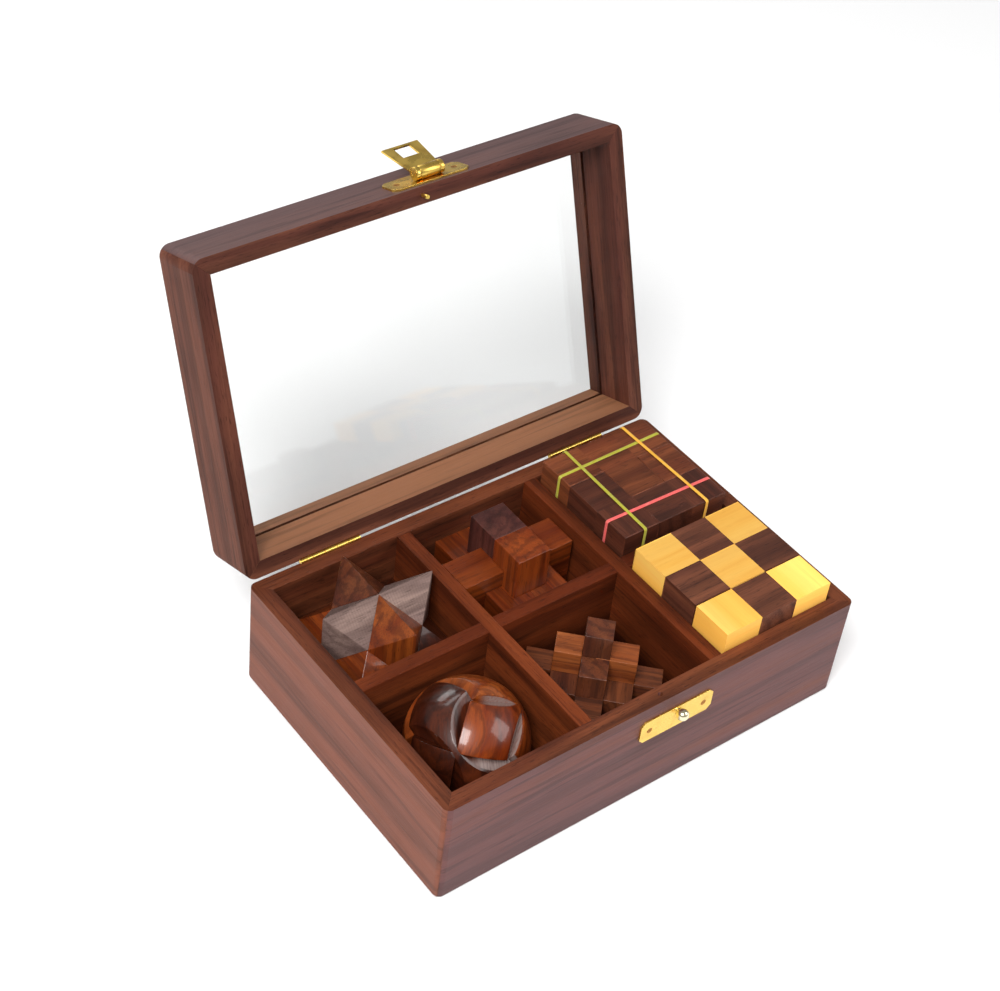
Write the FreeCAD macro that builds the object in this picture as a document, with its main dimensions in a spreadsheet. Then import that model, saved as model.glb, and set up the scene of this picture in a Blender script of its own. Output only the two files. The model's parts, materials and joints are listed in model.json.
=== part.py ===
"""A hinged, glazed wooden box that holds six take-apart wooden puzzles.

Millimetres. The origin is the centre of the box's underside, X runs along the box to the
right, Y to the back and Z up. The lid stands open at its stop.
"""
import FreeCAD
import Part
import Sketcher
import math
import os

App = FreeCAD
Vector = App.Vector
doc = App.newDocument("puzzle_box")

# ---------------------------------------------------------------- driving dimensions

DIMENSIONS = {
    # box
    "box_width": 200, "box_depth": 132, "box_height": 50, "wall": 7, "floor_thick": 4,
    "divider": 6, "divider_offset": 32, "corner_round": 3, "foot_round": 1.5,
    # lid
    "lid_gap": 0.36, "lid_height": 28, "lid_corner_round": 5, "lid_top_round": 4, "rail": 7,
    "glass_thick": 2.5, "glass_level": 18.5, "glass_inset": 3, "glass_play": 0.1,
    "lid_open": 108.5,
    # hinges
    "axis_behind": 0.45, "hinge_offset": 62, "hinge_length": 28, "leaf_thick": 0.5,
    "leaf_width": 6.5, "leaf_clear": 1.35, "knuckle_radius": 1.1, "knuckle_bore": 0.6,
    "hinge_notch": 1.25, "hinge_pin_radius": 0.55, "knuckle_play": 0.1,
    # clasp
    "clasp_centre": 8, "plate_length": 36, "plate_height": 11, "plate_thick": 0.8,
    "plate_clip": 2, "catch_plate_foot": 32, "clasp_plate_foot": 52.3, "knob_level": 41,
    "knob_reach": 5, "knob_radius": 2.5, "knob_neck": 1.6, "hasp_axis_level": 56,
    "hasp_axis_out": 3.6, "curl_radius": 2.7, "curl_length": 9, "clasp_pin_radius": 1.2,
    "clasp_bore": 1.25, "hasp_root_width": 13, "hasp_tip_width": 17, "hasp_length": 19,
    "hasp_thick": 0.8, "window_width": 7.5, "window_height": 7, "window_level": 14.2,
    "hasp_raised": 18,
    "locating_radius": 0.8, "locating_bore": 1, "locating_reach": 3.5, "locating_across": 1,
    # screws
    "head_radius": 1.3, "shank_radius": 0.6, "head_depth": 0.7, "screw_length": 7,
    "slot_width": 0.35, "slot_depth": 0.3,
    # puzzles
    "bay_across": 64, "bay_along": 31, "burr_unit": 8, "burr_length": 54,
    "facet_unit": 12.75, "ball_radius": 24.4, "ball_turn": 219.5, "ball_across": -61.5,
    "ball_along": -27.7, "pagoda_cell": 10.8,
    "pagoda_across": -2.5, "pagoda_along": -29.5, "pagoda_turn": -45, "star_across": -62.7,
    "star_along": 32, "soma_cell": 18, "band_thick": 0.35, "band_width": 1.6,
    "band_inset": 11, "cubelet": 18.2, "cubelet_pitch": 18.3, "elastic_radius": 0.9,
    "elastic_bore": 2, "snake_front_slip": 0.5, "snake_back": 0.5,
}

sheet = doc.addObject("Spreadsheet::Sheet", "Dims")
for row, (alias, number) in enumerate(DIMENSIONS.items(), start=1):
    sheet.set("A%d" % row, alias)
    sheet.set("B%d" % row, str(number))
    sheet.setAlias("B%d" % row, alias)
doc.recompute()

# Levels and places that several sub-parts share, as expressions in the sheet's names.
LID_FOOT = "(Dims.box_height + Dims.lid_gap)"
AXIS_Y = "(Dims.box_depth / 2 + Dims.axis_behind)"
AXIS_Z = "(Dims.box_height + Dims.lid_gap / 2)"
FRONT = "(-Dims.box_depth / 2)"
HASP_Y = "(-Dims.box_depth / 2 - Dims.hasp_axis_out)"
LOCATING_Y = "(Dims.wall / 2 - Dims.box_depth / 2)"
HINGE_SIDES = {"left": "-Dims.hinge_offset", "right": "Dims.hinge_offset"}


# ---------------------------------------------------------------- building helpers

def bind(obj, properties):
    """Tie each named property of an object to its expression."""
    for prop, expression in properties.items():
        obj.setExpression(prop, str(expression))
    return obj


def place(obj, x=0, y=0, z=0, rotation=None):
    """Give an object its rotation, and a position bound to three expressions."""
    if rotation is not None:
        obj.Placement = App.Placement(Vector(), rotation)
    return bind(obj, {"Placement.Base.x": x, "Placement.Base.y": y, "Placement.Base.z": z})


def block(name, size, corner, rotation=None):
    """A box from its three sizes and its low corner."""
    obj = doc.addObject("Part::Box", name)
    bind(obj, dict(zip(("Length", "Width", "Height"), size)))
    return place(obj, *corner, rotation=rotation)


ALONG = {
    "x": App.Rotation(Vector(0, 1, 0), 90),
    "y": App.Rotation(Vector(1, 0, 0), -90),
    "-y": App.Rotation(Vector(1, 0, 0), 90),
    "z": App.Rotation(),
    "-z": App.Rotation(Vector(1, 0, 0), 180),
}


def rod(name, radius, length, start, axis):
    """A cylinder that runs from its start point along an axis."""
    obj = doc.addObject("Part::Cylinder", name)
    bind(obj, {"Radius": radius, "Height": length})
    return place(obj, *start, rotation=ALONG[axis])


def fuse(name, shapes):
    """Pieces joined into one solid."""
    obj = doc.addObject("Part::MultiFuse", name)
    obj.Shapes = shapes
    obj.Refine = True
    return obj


def together(name, shapes):
    """Separate solids that share one node."""
    obj = doc.addObject("Part::Compound", name)
    obj.Links = shapes
    return obj


def cut(name, base, tool):
    """A piece with another one's space taken out of it."""
    obj = doc.addObject("Part::Cut", name)
    obj.Base = base
    obj.Tool = tool
    obj.Refine = True
    return obj


def common(name, first, second):
    """What two shapes share."""
    obj = doc.addObject("Part::Common", name)
    obj.Base = first
    obj.Tool = second
    obj.Refine = True
    return obj


def mitred(name, length, thick, height, corner, turn):
    """A board with mitred ends, its long face outwards, turned about the vertical."""
    obj = doc.addObject("Part::Wedge", name)
    bind(obj, {
        "Xmin": 0, "Ymin": 0, "Zmin": 0, "X2min": thick, "Z2min": 0,
        "Xmax": length, "Ymax": thick, "Zmax": height,
        "X2max": "%s - %s" % (length, thick), "Z2max": height,
    })
    return place(obj, *corner, rotation=App.Rotation(Vector(0, 0, 1), turn))


def four_sides(prefix, thick, height, foot):
    """The four mitred boards of a rectangular frame, keyed by side."""
    wide = "Dims.box_width"
    deep = "Dims.box_depth"
    left = "-Dims.box_width / 2"
    right = "Dims.box_width / 2"
    near = "-Dims.box_depth / 2"
    far = "Dims.box_depth / 2"
    return {
        "front": mitred(prefix + "_front_board", wide, thick, height, (left, near, foot), 0),
        "back": mitred(prefix + "_back_board", wide, thick, height, (right, far, foot), 180),
        "left": mitred(prefix + "_left_board", deep, thick, height, (left, far, foot), 270),
        "right": mitred(prefix + "_right_board", deep, thick, height, (right, near, foot), 90),
    }


def rounded_block(name, height, foot, corner_round, edge_round, edge_at_top):
    """A body of the box's plan, rounded at its upright edges and at its top or foot."""
    body = doc.addObject("PartDesign::Body", name)
    plane = [f for f in body.Origin.OriginFeatures if f.Role == "XY_Plane"][0]
    sketch = body.newObject("Sketcher::SketchObject", name + "_plan")
    sketch.AttachmentSupport = [(plane, "")]
    sketch.MapMode = "FlatFace"
    bind(sketch, {"AttachmentOffset.Base.z": foot})
    corners = [Vector(-9, -9, 0), Vector(9, -9, 0), Vector(9, 9, 0), Vector(-9, 9, 0)]
    for index in range(4):
        sketch.addGeometry(Part.LineSegment(corners[index], corners[(index + 1) % 4]))
    for index in range(4):
        sketch.addConstraint(Sketcher.Constraint("Coincident", index, 2, (index + 1) % 4, 1))
    for index, kind in enumerate(("Horizontal", "Vertical", "Horizontal", "Vertical")):
        sketch.addConstraint(Sketcher.Constraint(kind, index))
    sketch.addConstraint(Sketcher.Constraint("Symmetric", 0, 1, 2, 1, -1, 1))
    across = sketch.addConstraint(Sketcher.Constraint("DistanceX", 0, 1, 0, 2, 18))
    along = sketch.addConstraint(Sketcher.Constraint("DistanceY", 1, 1, 1, 2, 18))
    bind(sketch, {
        "Constraints[%d]" % across: "Dims.box_width",
        "Constraints[%d]" % along: "Dims.box_depth",
    })
    pad = body.newObject("PartDesign::Pad", name + "_pad")
    pad.Profile = sketch
    bind(pad, {"Length": height})
    doc.recompute()
    uprights = []
    for index, edge in enumerate(pad.Shape.Edges, start=1):
        if abs(edge.tangentAt(edge.FirstParameter).z) > 0.9:
            uprights.append("Edge%d" % index)
    rounds = body.newObject("PartDesign::Fillet", name + "_corners")
    rounds.Base = (pad, uprights)
    bind(rounds, {"Radius": corner_round})
    doc.recompute()
    box = rounds.Shape.BoundBox
    level = box.ZMax if edge_at_top else box.ZMin
    rim = []
    for index, edge in enumerate(rounds.Shape.Edges, start=1):
        if abs(edge.BoundBox.ZMin - level) < 0.01 and abs(edge.BoundBox.ZMax - level) < 0.01:
            rim.append("Edge%d" % index)
    eased = body.newObject("PartDesign::Fillet", name + "_eased")
    eased.Base = (rounds, rim)
    bind(eased, {"Radius": edge_round})
    doc.recompute()
    return body


def on_lid(obj, x=0, y=0, z=0, raised=0):
    """Swing an object with the open lid. Its own origin goes to x, y, z of the shut lid."""
    turn = "(Dims.lid_open * 1 deg)"
    out = "(%s - %s)" % (y, AXIS_Y)
    up = "(%s - %s)" % (z, AXIS_Z)
    obj.Placement = App.Placement(Vector(), App.Rotation(Vector(-1, 0, 0), 1))
    return bind(obj, {
        "Placement.Base.x": x,
        "Placement.Base.y": "%s + %s * cos%s + %s * sin%s" % (AXIS_Y, out, turn, up, turn),
        "Placement.Base.z": "%s - %s * sin%s + %s * cos%s" % (AXIS_Z, out, turn, up, turn),
        "Placement.Rotation.Angle": "Dims.lid_open - (%s)" % raised,
    })


# ---------------------------------------------------------------- screws

def screw(name, x, y, z, axis):
    """A countersunk screw driven along an axis, as its plain form and its slotted form."""
    head = doc.addObject("Part::Cone", name + "_head")
    bind(head, {
        "Radius1": "Dims.head_radius", "Radius2": "Dims.shank_radius",
        "Height": "Dims.head_depth",
    })
    place(head, x, y, z, rotation=ALONG[axis])
    shank = rod(name + "_shank", "Dims.shank_radius", "Dims.screw_length", (x, y, z), axis)
    plain = fuse(name + "_form", [head, shank])
    slot = block(
        name + "_slot",
        ("4 * Dims.head_radius", "Dims.slot_width", "2 * Dims.slot_depth"),
        (0, 0, 0),
    )
    sideways = "%s - 2 * Dims.head_radius" % x
    if axis in ("-z", "z"):
        place(slot, sideways, "%s - Dims.slot_width / 2" % y, "%s - Dims.slot_depth" % z)
    else:
        slot.Placement = App.Placement(Vector(), App.Rotation(Vector(1, 0, 0), 90))
        bind(slot, {
            "Placement.Base.x": sideways,
            "Placement.Base.y": "%s + Dims.slot_depth" % y,
            "Placement.Base.z": "%s - Dims.slot_width / 2" % z,
        })
    return plain, cut(name, plain, slot)


def hinge_screws(prefix, way):
    """Three screws in each leaf above (1) or below (-1) the two hinge lines, on the back."""
    level = "%s + %d * (Dims.leaf_clear + Dims.leaf_width) / 2" % (AXIS_Z, way)
    made = []
    for side, centre in HINGE_SIDES.items():
        for number, step in enumerate(("-0.36", "0", "0.36"), start=1):
            x = "%s + %s * Dims.hinge_length" % (centre, step)
            y = "Dims.box_depth / 2 + Dims.leaf_thick"
            made.append(screw("%s_%s_screw_%d" % (prefix, side, number), x, y, level, "-y"))
    return made


def plate_screws(prefix, foot):
    """Two screws at the ends of a clasp plate on a front face."""
    made = []
    for number, sign in enumerate(("-", "+"), start=1):
        x = "Dims.clasp_centre %s (Dims.plate_length / 2 - 4.5)" % sign
        z = "%s + Dims.plate_height / 2" % foot
        y = "%s - Dims.plate_thick" % FRONT
        made.append(screw("%s_screw_%d" % (prefix, number), x, y, z, "y"))
    return made


box_hinge_screws = hinge_screws("box_hinge", -1)
catch_screws = plate_screws("catch", "Dims.catch_plate_foot")
lid_hinge_screws = hinge_screws("lid_hinge", 1)
clasp_screws = plate_screws("clasp", "Dims.clasp_plate_foot")

together("box_screws", [made for plain, made in box_hinge_screws + catch_screws])
on_lid(together("lid_screws", [made for plain, made in lid_hinge_screws + clasp_screws]))
box_hinge_forms = together("box_hinge_forms", [plain for plain, made in box_hinge_screws])
lid_hinge_forms = together("lid_hinge_forms", [plain for plain, made in lid_hinge_screws])
catch_forms = together("catch_forms", [plain for plain, made in catch_screws])
clasp_forms = together("clasp_forms", [plain for plain, made in clasp_screws])
hinge_notches = together("hinge_notches", [
    rod(
        side + "_hinge_notch", "Dims.hinge_notch", "Dims.hinge_length + 0.2",
        ("%s - Dims.hinge_length / 2 - 0.1" % centre, AXIS_Y, AXIS_Z), "x",
    )
    for side, centre in HINGE_SIDES.items()
])


# ---------------------------------------------------------------- box

box_form = rounded_block(
    "box_form", "Dims.box_height", "0", "Dims.corner_round", "Dims.foot_round", False
)
box_boards = four_sides("box", "Dims.wall", "Dims.box_height", "0")

block(
    "box_bottom",
    ("Dims.box_width - 2 * Dims.wall", "Dims.box_depth - 2 * Dims.wall", "Dims.floor_thick"),
    ("Dims.wall - Dims.box_width / 2", "Dims.wall - Dims.box_depth / 2", "0"),
)
common("box_left_wall", box_form, box_boards["left"])
common("box_right_wall", box_form, box_boards["right"])
back_blank = common("back_wall_blank", box_form, box_boards["back"])
cut("box_back_wall", back_blank, together("back_wall_cuts", [box_hinge_forms, hinge_notches]))

knob_neck = rod(
    "catch_neck", "Dims.knob_neck", "Dims.knob_reach + 5",
    ("Dims.clasp_centre", FRONT + " - Dims.knob_reach", "Dims.knob_level"), "y",
)
locating_hole = rod(
    "locating_hole", "Dims.locating_bore", "Dims.locating_reach + 1",
    ("Dims.locating_across", LOCATING_Y, "Dims.box_height"), "-z",
)
front_blank = common("front_wall_blank", box_form, box_boards["front"])
front_holes = together("front_wall_holes", [catch_forms, knob_neck, locating_hole])
cut("box_front_wall", front_blank, front_holes)


def divider(name, size, corner, notches):
    """A partition with the notches where it crosses the others."""
    board = block(name + "_board", size, corner)
    gaps = [block("%s_notch_%d" % (name, n), *gap) for n, gap in enumerate(notches, 1)]
    return cut(name, board, together(name + "_notches", gaps))


clear_height = "Dims.box_height - Dims.floor_thick"
half_lap = "(Dims.box_height - Dims.floor_thick) / 2"
lap_level = "(Dims.box_height + Dims.floor_thick) / 2"
lap_size = ("Dims.divider", "Dims.divider", half_lap)
near_side = "-Dims.divider / 2"
crossings = {
    "left": "-Dims.divider_offset - Dims.divider / 2",
    "right": "Dims.divider_offset - Dims.divider / 2",
}
divider(
    "long_divider",
    ("Dims.box_width - 2 * Dims.wall", "Dims.divider", clear_height),
    ("Dims.wall - Dims.box_width / 2", near_side, "Dims.floor_thick"),
    [(lap_size, (x, near_side, lap_level)) for x in crossings.values()],
)
for side, x in crossings.items():
    divider(
        side + "_cross_divider",
        ("Dims.divider", "Dims.box_depth - 2 * Dims.wall", clear_height),
        (x, "Dims.wall - Dims.box_depth / 2", "Dims.floor_thick"),
        [(lap_size, (x, near_side, "Dims.floor_thick"))],
    )


# ---------------------------------------------------------------- lid

lid_form = rounded_block(
    "lid_form", "Dims.lid_height", LID_FOOT, "Dims.lid_corner_round", "Dims.lid_top_round", True
)
lid_boards = four_sides("lid", "Dims.rail", "Dims.lid_height", LID_FOOT)


def pane(name, play):
    """The glass, or with some play the groove that it sits in."""
    inset = "(Dims.rail - Dims.glass_inset - %s)" % play
    return block(
        name,
        (
            "Dims.box_width - 2 * " + inset,
            "Dims.box_depth - 2 * " + inset,
            "Dims.glass_thick + 2 * " + play,
        ),
        (
            "%s - Dims.box_width / 2" % inset,
            "%s - Dims.box_depth / 2" % inset,
            "%s + Dims.glass_level - %s" % (LID_FOOT, play),
        ),
    )


glass_groove = pane("glass_groove", "Dims.glass_play")
on_lid(together("lid_glass", [pane("glass_pane", "0")]))

locating_stem = "Dims.locating_reach + 5"
locating_start = (
    "Dims.locating_across", LOCATING_Y, LID_FOOT + " - Dims.locating_reach",
)
locating_form = rod("locating_form", "Dims.locating_radius", locating_stem, locating_start, "z")
rail_holes = {
    "front": [clasp_forms, locating_form],
    "back": [lid_hinge_forms, hinge_notches],
    "left": [],
    "right": [],
}
for side, board in lid_boards.items():
    blank = common("lid_%s_blank" % side, lid_form, board)
    holes = together("lid_%s_cuts" % side, [glass_groove] + rail_holes[side])
    on_lid(cut("lid_%s_rail" % side, blank, holes))

pin_blank = rod("locating_blank", "Dims.locating_radius", locating_stem, locating_start, "z")
on_lid(together("locating_pin", [pin_blank]))


# ---------------------------------------------------------------- hinges

KNUCKLES = 5


def knuckles(prefix, centre, chosen, clearance):
    """The chosen knuckles of a hinge barrel, each made from its centre line outwards."""
    made = []
    pitch = "Dims.hinge_length / %d" % KNUCKLES
    for index in chosen:
        start = "%s + %s * (%d) - Dims.hinge_length / 2 + %s" % (centre, pitch, index, clearance)
        made.append(rod(
            "%s_%d" % (prefix, index), "Dims.knuckle_radius", "%s - 2 * %s" % (pitch, clearance),
            (start, AXIS_Y, AXIS_Z), "x",
        ))
    return made


def hinge_leaf(prefix, centre, chosen, plate_foot, strip_foot):
    """One leaf of a butt hinge: its plate, a strip to each of its knuckles, and the bore."""
    play = "Dims.knuckle_play"
    pitch = "Dims.hinge_length / %d" % KNUCKLES
    back = "Dims.box_depth / 2"
    shapes = [block(
        prefix + "_plate",
        ("Dims.hinge_length", "Dims.leaf_thick", "Dims.leaf_width - Dims.leaf_clear"),
        ("%s - Dims.hinge_length / 2" % centre, back, plate_foot),
    )]
    for index in chosen:
        start = "%s + %s * (%d) - Dims.hinge_length / 2 + %s" % (centre, pitch, index, play)
        shapes.append(block(
            "%s_strip_%d" % (prefix, index),
            ("%s - 2 * %s" % (pitch, play), "Dims.leaf_thick", "Dims.leaf_clear + 0.1"),
            (start, back, strip_foot),
        ))
    shapes += knuckles(prefix + "_knuckle", centre, chosen, play)
    bore = rod(
        prefix + "_bore", "Dims.knuckle_bore", "Dims.hinge_length + 2",
        ("%s - Dims.hinge_length / 2 - 1" % centre, AXIS_Y, AXIS_Z), "x",
    )
    return fuse(prefix + "_solid", shapes), bore


leaf_kinds = {
    # kind: (its knuckles, the foot of its plate, the foot of its strips, its screws)
    "box": (
        (0, 2, 4), AXIS_Z + " - Dims.leaf_width", AXIS_Z + " - Dims.leaf_clear - 0.1",
        box_hinge_forms,
    ),
    "lid": ((1, 3), AXIS_Z + " + Dims.leaf_clear", AXIS_Z, lid_hinge_forms),
}
leaves = {}
for kind, (chosen, plate_foot, strip_foot, forms) in leaf_kinds.items():
    leaves[kind] = []
    for side, centre in HINGE_SIDES.items():
        name = "%s_%s_leaf" % (kind, side)
        solid, bore = hinge_leaf(name, centre, chosen, plate_foot, strip_foot)
        leaves[kind].append(cut(name, solid, together(name + "_holes", [bore, forms])))

together("hinge_box_leaves", leaves["box"])
on_lid(together("hinge_lid_leaves", leaves["lid"]))
together("hinge_pins", [
    rod(
        side + "_hinge_pin", "Dims.hinge_pin_radius", "Dims.hinge_length",
        ("%s - Dims.hinge_length / 2" % centre, AXIS_Y, AXIS_Z), "x",
    )
    for side, centre in HINGE_SIDES.items()
])


# ---------------------------------------------------------------- clasp

def clasp_plate_blank(name, foot):
    """A brass plate on a front face, with its four corners clipped."""
    plate = block(
        name + "_blank",
        ("Dims.plate_length", "Dims.plate_thick", "Dims.plate_height"),
        (
            "Dims.clasp_centre - Dims.plate_length / 2",
            FRONT + " - Dims.plate_thick",
            foot,
        ),
    )
    clips = []
    reach = "Dims.plate_clip * 1.4142"
    for number, (across, up) in enumerate((("-", 0), ("+", 0), ("-", 1), ("+", 1)), 1):
        clips.append(block(
            "%s_clip_%d" % (name, number), (reach, "4 * Dims.plate_thick", reach),
            (
                "Dims.clasp_centre %s Dims.plate_length / 2" % across,
                FRONT + " - 2 * Dims.plate_thick",
                "%s + %d * Dims.plate_height - Dims.plate_clip" % (foot, up),
            ),
            rotation=App.Rotation(Vector(0, 1, 0), -45),
        ))
    return cut(name + "_clipped", plate, together(name + "_clips", clips))


catch_blank = clasp_plate_blank("catch", "Dims.catch_plate_foot")
catch_hole = rod(
    "catch_hole", "Dims.knob_neck", "4 * Dims.plate_thick",
    ("Dims.clasp_centre", FRONT + " - 2 * Dims.plate_thick", "Dims.knob_level"), "y",
)
cut("catch_plate", catch_blank, together("catch_plate_holes", [catch_forms, catch_hole]))

knob_ball = doc.addObject("Part::Sphere", "knob_ball")
bind(knob_ball, {"Radius": "Dims.knob_radius"})
place(
    knob_ball, "Dims.clasp_centre", FRONT + " - Dims.knob_reach + Dims.knob_radius * 0.6",
    "Dims.knob_level",
)
knob_stem = rod(
    "knob_stem", "Dims.knob_neck", "Dims.knob_reach + 3",
    ("Dims.clasp_centre", FRONT + " - Dims.knob_reach + 1", "Dims.knob_level"), "y",
)
fuse("catch_knob", [knob_ball, knob_stem])

clasp_blank = clasp_plate_blank("clasp", "Dims.clasp_plate_foot")
curl = rod(
    "clasp_curl", "Dims.curl_radius", "Dims.curl_length",
    ("Dims.clasp_centre - Dims.curl_length / 2", HASP_Y, "Dims.hasp_axis_level"), "x",
)
curl_root = block(
    "clasp_curl_root",
    ("Dims.curl_length", "Dims.hasp_axis_out - Dims.plate_thick / 2", "Dims.plate_thick"),
    (
        "Dims.clasp_centre - Dims.curl_length / 2", HASP_Y,
        "Dims.hasp_axis_level + Dims.curl_radius - Dims.plate_thick",
    ),
)
clasp_bore = rod(
    "clasp_bore", "Dims.clasp_bore", "Dims.hasp_root_width",
    ("Dims.clasp_centre - Dims.hasp_root_width / 2", HASP_Y, "Dims.hasp_axis_level"), "x",
)
clasp_solid = fuse("clasp_solid", [clasp_blank, curl, curl_root])
on_lid(cut("clasp_plate", clasp_solid, together("clasp_holes", [clasp_forms, clasp_bore])))

# The hasp and its pin are drawn about the hasp's own axis, with the flap standing up.
half_root = "Dims.hasp_root_width / 2"
clasp_pin_form = rod(
    "clasp_pin_form", "Dims.clasp_pin_radius", "Dims.hasp_root_width",
    ("-" + half_root, "0", "0"), "x",
)
on_lid(
    together("clasp_pin", [clasp_pin_form]), "Dims.clasp_centre", HASP_Y, "Dims.hasp_axis_level"
)

flap = doc.addObject("Part::Wedge", "hasp_flap")
bind(flap, {
    "Xmin": "-" + half_root, "Xmax": half_root,
    "X2min": "-Dims.hasp_tip_width / 2", "X2max": "Dims.hasp_tip_width / 2",
    "Ymin": 0, "Ymax": "Dims.hasp_length",
    "Zmin": "-Dims.hasp_thick / 2", "Z2min": "-Dims.hasp_thick / 2",
    "Zmax": "Dims.hasp_thick / 2", "Z2max": "Dims.hasp_thick / 2",
})
flap.Placement = App.Placement(Vector(), App.Rotation(Vector(1, 0, 0), 90))
hasp_curls = []
side_curl = "(Dims.hasp_root_width - Dims.curl_length) / 2 - Dims.knuckle_play"
for side, start in (("left", "-" + half_root), ("right", "%s - (%s)" % (half_root, side_curl))):
    hasp_curls.append(rod(
        "hasp_%s_curl" % side, "Dims.curl_radius", side_curl, (start, "0", "0"), "x",
    ))
curl_space = block(
    "hasp_curl_space",
    ("Dims.curl_length + 2 * Dims.knuckle_play", "8", "2 * Dims.curl_radius + 1"),
    ("-Dims.curl_length / 2 - Dims.knuckle_play", "-4", "-Dims.curl_radius - 0.5"),
)
hasp_bore = rod(
    "hasp_bore", "Dims.clasp_bore", "2 * Dims.hasp_root_width",
    ("-Dims.hasp_root_width", "0", "0"), "x",
)
window = block(
    "hasp_window", ("Dims.window_width", "4", "Dims.window_height"),
    ("-Dims.window_width / 2", "-2", "Dims.window_level - Dims.window_height / 2"),
)
hasp_solid = fuse("hasp_solid", [flap] + hasp_curls)
hasp_spaces = together("hasp_spaces", [curl_space, hasp_bore, window])
on_lid(
    cut("clasp_hasp", hasp_solid, hasp_spaces),
    "Dims.clasp_centre", HASP_Y, "Dims.hasp_axis_level", "Dims.hasp_raised",
)


# ---------------------------------------------------------------- six-piece burr

def bar(name, unit, low, high, centre):
    """A square block between two corners counted in units from a centre."""
    size = ["(%s) * %s" % (b - a, unit) for a, b in zip(low, high)]
    corner = ["(%s) * %s + (%s)" % (a, unit, c) for a, c in zip(low, centre)]
    return block(name, size, corner)


BURR_CENTRE = ("0", "Dims.bay_along", "Dims.floor_thick + Dims.burr_length / 2")
END = DIMENSIONS["burr_length"] / 2 / DIMENSIONS["burr_unit"]

burr_sticks = {
    # name: (low corner, high corner, notches cut from it), all counted in units
    "burr_key": ((-1, -2, -END), (1, 0, END), []),
    "burr_back_post": ((-1, 0, -END), (1, 2, END), [((-1, 0, -2), (1, 1, 2))]),
    "burr_top_bar": (
        (-END, -1, 0), (END, 1, 2), [((-2, -1, 0), (2, 1, 1)), ((-1, -1, 1), (1, 0, 2))],
    ),
    "burr_bottom_bar": (
        (-END, -1, -2), (END, 1, 0), [((-2, -1, -1), (2, 1, 0)), ((-1, -1, -2), (1, 0, -1))],
    ),
    "burr_left_bar": (
        (-2, -END, -1), (0, END, 1), [((-1, -2, -1), (0, 0, 1)), ((-1, 1, -1), (0, 2, 1))],
    ),
    "burr_right_bar": (
        (0, -END, -1), (2, END, 1), [((0, -2, -1), (1, 0, 1)), ((0, 1, -1), (1, 2, 1))],
    ),
}
for name, (low, high, notches) in burr_sticks.items():
    unit = "Dims.burr_unit"
    stick = bar(name + "_stick", unit, low, high, BURR_CENTRE)
    if not notches:
        together(name, [stick])
        continue
    gaps = [
        bar("%s_notch_%d" % (name, n), unit, a, b, BURR_CENTRE)
        for n, (a, b) in enumerate(notches, 1)
    ]
    cut(name, stick, together(name + "_notches", gaps))


# ---------------------------------------------------------------- star and ball

def diamond(name, axis, offset, half_diagonal, length):
    """A square stick on its edge, centred on an axis through an offset point."""
    side = "(%s) * sqrt(2)" % half_diagonal
    turns = {"x": Vector(1, 0, 0), "y": Vector(0, 1, 0), "z": Vector(0, 0, 1)}
    sizes = {"x": (length, side, side), "y": (side, length, side), "z": (side, side, length)}
    x, y, z = offset
    back = "(%s) / 2" % length
    corners = {
        "x": ("%s - %s" % (x, back), y, "%s - %s" % (z, half_diagonal)),
        "y": ("%s - %s" % (x, half_diagonal), "%s - %s" % (y, back), z),
        "z": (x, "%s - %s" % (y, half_diagonal), "%s - %s" % (z, back)),
    }
    return block(name, sizes[axis], corners[axis], App.Rotation(turns[axis], 45))


UNIT = "Dims.facet_unit"
# Each stick runs along the first axis and lies off centre along the second.
FAMILIES = {"x": "z", "y": "x", "z": "y"}


def off_centre(axis, sign):
    """The offset point of a stick: one unit along its family's second axis."""
    return tuple("%d * %s" % (sign * (letter == FAMILIES[axis]), UNIT) for letter in "xyz")


def facet_sticks(prefix, names, limit_shapes, node_placement):
    """Six identical sticks, each notched by the pair that crosses it and then trimmed."""
    for axis, across in FAMILIES.items():
        third = [letter for letter in "xyz" if letter not in (axis, across)][0]
        for sign in (1, -1):
            name = names[(axis, sign)]
            whole = diamond(name + "_rod", axis, off_centre(axis, sign), UNIT, "6 * " + UNIT)
            crossing = [
                diamond(
                    "%s_gap_%d" % (name, number), third, off_centre(third, way), UNIT,
                    "8 * " + UNIT,
                )
                for number, way in enumerate((1, -1), 1)
            ]
            notched = cut(name + "_notched", whole, together(name + "_gaps", crossing))
            node_placement(common(name, notched, limit_shapes(name, across)))


STAR_NAMES = {
    ("x", 1): "star_front_post", ("x", -1): "star_back_post",
    ("y", 1): "star_top_bar", ("y", -1): "star_bottom_bar",
    ("z", 1): "star_left_bar", ("z", -1): "star_right_bar",
}
# Star's own x is up, its y points left and its z points to the front.
STAR_TURN = App.Rotation(Vector(0, 0, 1), Vector(-1, 0, 0), Vector(0, -1, 0), "XYZ")


def star_limit(name, across):
    return diamond(name + "_limit", across, ("0", "0", "0"), "2 * " + UNIT, "6 * " + UNIT)


def in_star(obj):
    rise = "Dims.floor_thick + 2 * Dims.facet_unit"
    place(obj, "Dims.star_across", "Dims.star_along", rise, rotation=STAR_TURN)


facet_sticks("star", STAR_NAMES, star_limit, in_star)

BALL_NAMES = {
    ("x", 1): "ball_upper_stick_1", ("y", 1): "ball_upper_stick_2",
    ("z", -1): "ball_upper_stick_3", ("x", -1): "ball_lower_stick_1",
    ("y", -1): "ball_lower_stick_2", ("z", 1): "ball_lower_stick_3",
}
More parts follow.
